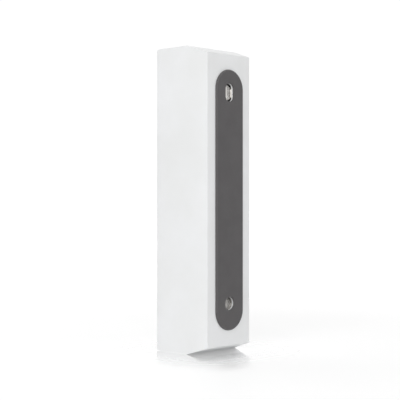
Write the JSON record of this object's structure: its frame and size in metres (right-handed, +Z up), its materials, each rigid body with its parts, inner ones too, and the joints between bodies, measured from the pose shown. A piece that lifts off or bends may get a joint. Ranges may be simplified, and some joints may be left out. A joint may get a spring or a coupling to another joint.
{
  "type": "video doorbell",
  "caption": "Tall battery video doorbell: white tapered case, dark wall pad with a slot and a hole, camera panel and bell button.",
  "frame": {"origin": "centre of the base, under the middle of the whole object's box", "axes": "+Z up along the case, +Y out of the pad towards the wall, -Y towards the visitor, +X to the visitor's right"},
  "size_m": [0.0376, 0.0372, 0.16],
  "materials": {
    "case_plastic": "satin moulded",
    "seal_rubber": "matt",
    "panel_black": "polished",
    "pad_rubber": "matt, fine grain",
    "adhesive": "matt film",
    "screw_steel": "zinc plated",
    "chassis_plastic": "satin moulded",
    "circuit_board": "solder mask",
    "tinned_steel": "tin plated",
    "chip_resin": "matt moulded",
    "led_resin": "clear resin over phosphor",
    "infrared_resin": "dark resin",
    "barrel_metal": "black anodised",
    "lens_glass": "coated",
    "window_glass": "polished, tinted",
    "ribbon_film": "film",
    "lens_plastic": "milky",
    "ring_plastic": "translucent",
    "plunger_plastic": "satin",
    "brass_can": "gold plated",
    "cone_film": "thin film",
    "magnet_nickel": "nickel plated",
    "antenna_film": "copper under film",
    "cell_wrap": "shrink film",
    "flap_rubber": "matt"
  },
  "bodies": {
    "case": {"rear_housing": "case_plastic", "front_cover": "case_plastic", "cover_seal": "seal_rubber", "front_panel": "panel_black", "mounting_pad": "pad_rubber", "pad_adhesive": "adhesive", "holding_magnets": "magnet_nickel", "inner_chassis": "chassis_plastic", "chassis_screws": "screw_steel", "main_board": "circuit_board", "shield_can": "tinned_steel", "board_chips": "chip_resin", "ring_leds": "led_resin", "infrared_leds": "infrared_resin", "light_sensor": "infrared_resin", "camera_board": "circuit_board", "camera_holder": "chassis_plastic", "camera_barrel": "barrel_metal", "camera_lens": "lens_glass", "camera_window": "window_glass", "window_gasket": "seal_rubber", "camera_ribbon": "ribbon_film", "motion_sensor": "tinned_steel", "motion_lens": "lens_plastic", "button_ring": "ring_plastic", "button_switch": "chassis_plastic", "microphone": "brass_can", "microphone_seal": "seal_rubber", "speaker_gasket": "seal_rubber", "speaker_frame": "chassis_plastic", "speaker_cone": "cone_film", "speaker_magnet": "magnet_nickel", "antenna": "antenna_film", "battery_holder": "chassis_plastic", "battery_cell": "cell_wrap", "battery_contacts": "magnet_nickel", "port_board": "circuit_board", "charging_port": "tinned_steel", "flap_pin": "screw_steel", "reset_switch": "chassis_plastic"},
    "bell_button": {"button_cap": "case_plastic"},
    "bell_plunger": {"switch_plunger": "plunger_plastic"},
    "reset_key": {"reset_button": "flap_rubber"},
    "reset_stem": {"reset_plunger": "plunger_plastic"},
    "flap": {"port_flap": "flap_rubber"}
  },
  "joints": [
    {"name": "bell_press", "type": "slide", "parent": "case", "child": "bell_button", "axis": [0, 1, 0], "range_m": [0, 0.0005], "stiffness_N_per_m": 1500, "springref_m": -0.0005},
    {"name": "bell_plunger_travel", "type": "slide", "parent": "case", "child": "bell_plunger", "axis": [0, 1, 0], "range_m": [0, 0.0005]},
    {"name": "reset_press", "type": "slide", "parent": "case", "child": "reset_key", "axis": [0, 0, 1], "range_m": [0, 0.0004], "stiffness_N_per_m": 1200, "springref_m": -0.0004},
    {"name": "reset_plunger_travel", "type": "slide", "parent": "case", "child": "reset_stem", "axis": [0, 0, 1], "range_m": [0, 0.0004]},
    {"name": "flap_hinge", "type": "hinge", "parent": "case", "child": "flap", "pos_m": [-0.0141, -0.0015, 0.00095], "axis": [0, 1, 0], "range_deg": [0, 95]}
  ],
  "couplings": [
    {"joint": "bell_plunger_travel", "follows": "bell_press", "ratio": 1},
    {"joint": "reset_plunger_travel", "follows": "reset_press", "ratio": 1}
  ]
}
